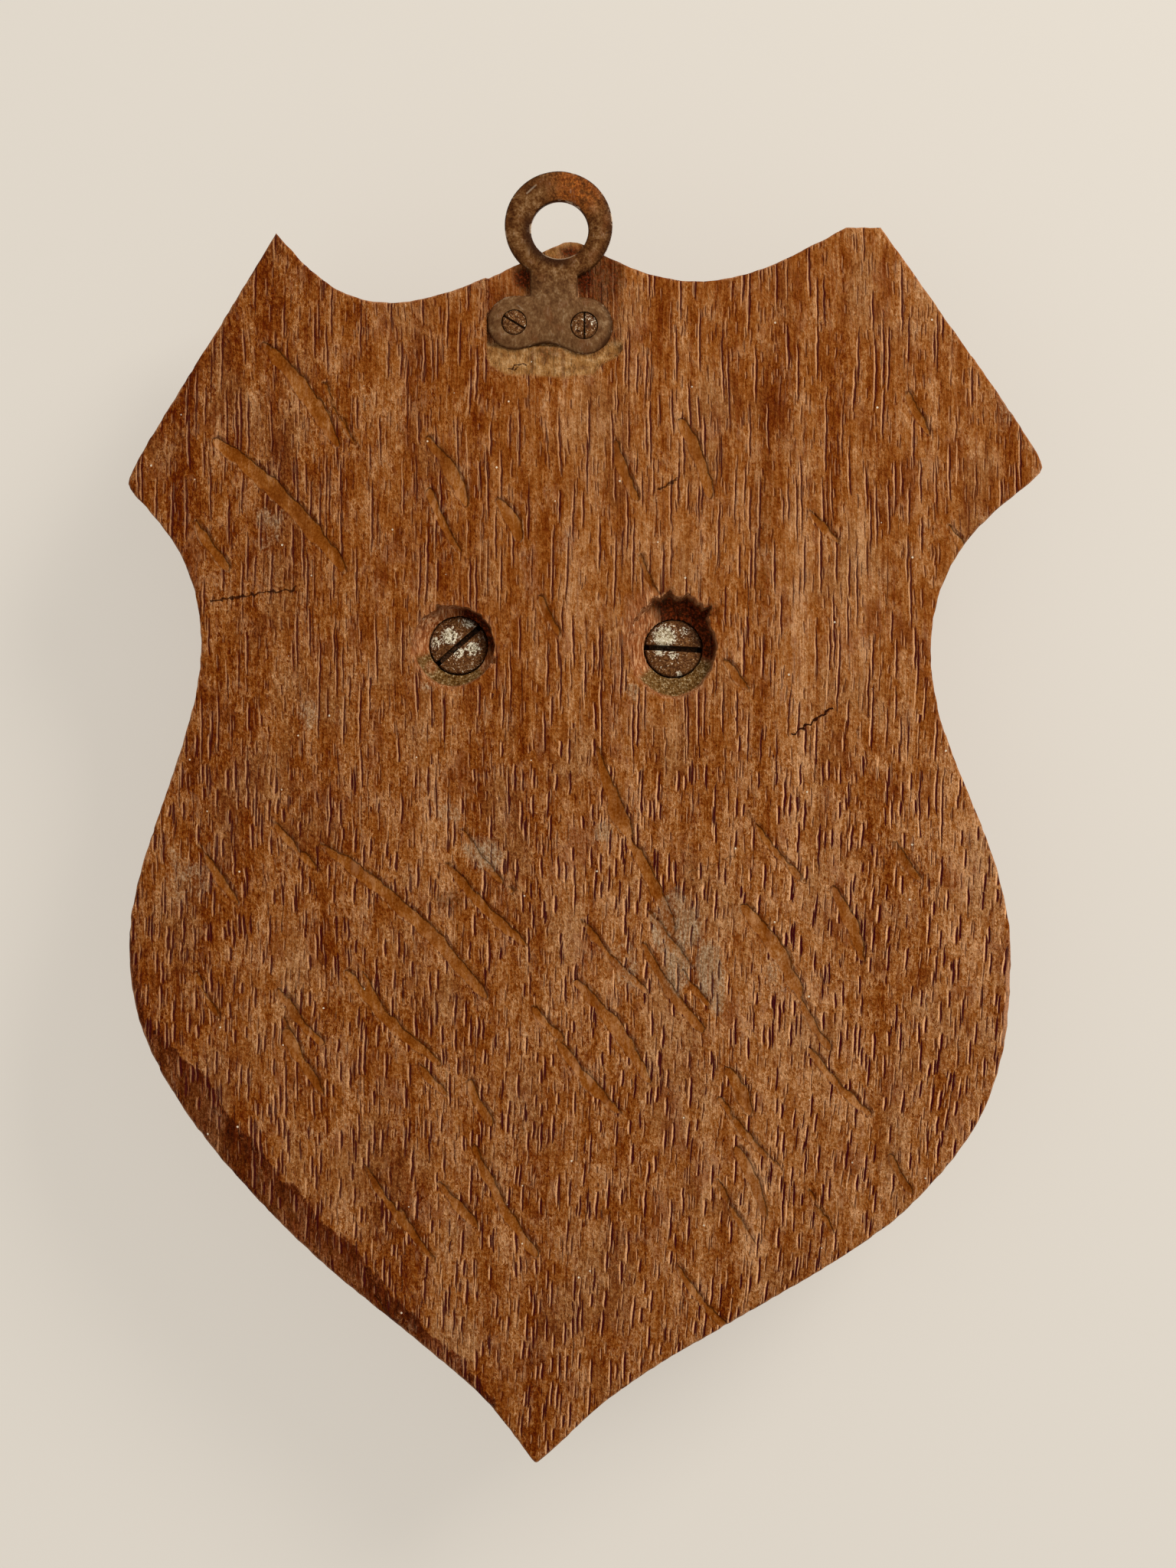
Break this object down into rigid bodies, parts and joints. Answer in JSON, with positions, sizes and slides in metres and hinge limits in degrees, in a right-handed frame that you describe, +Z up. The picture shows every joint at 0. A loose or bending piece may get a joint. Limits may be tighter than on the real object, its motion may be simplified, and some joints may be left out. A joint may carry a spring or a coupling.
{
  "type": "antler mounting plaque",
  "caption": "Hand-cut oak shield plaque that hangs on a wall by a let-in steel eye plate, with screws through it to hold antlers on its front.",
  "frame": {"origin": "centre of the hanging eye, in the plane of the wall, which is the plane of the board's back", "axes": "+Z up as it hangs, +Y into the wall, so the front faces -Y; seen from the back, right is -X"},
  "size_m": [0.1736, 0.0352, 0.2452],
  "materials": {
    "oak": "matte",
    "hanger_steel": "matte",
    "screw_steel": "satin"
  },
  "bodies": {
    "root": {"board": "oak", "hanger_plate": "hanger_steel", "hanger_screw_left": "screw_steel", "hanger_screw_right": "screw_steel", "antler_screw_left": "screw_steel", "antler_screw_right": "screw_steel"}
  },
  "joints": []
}
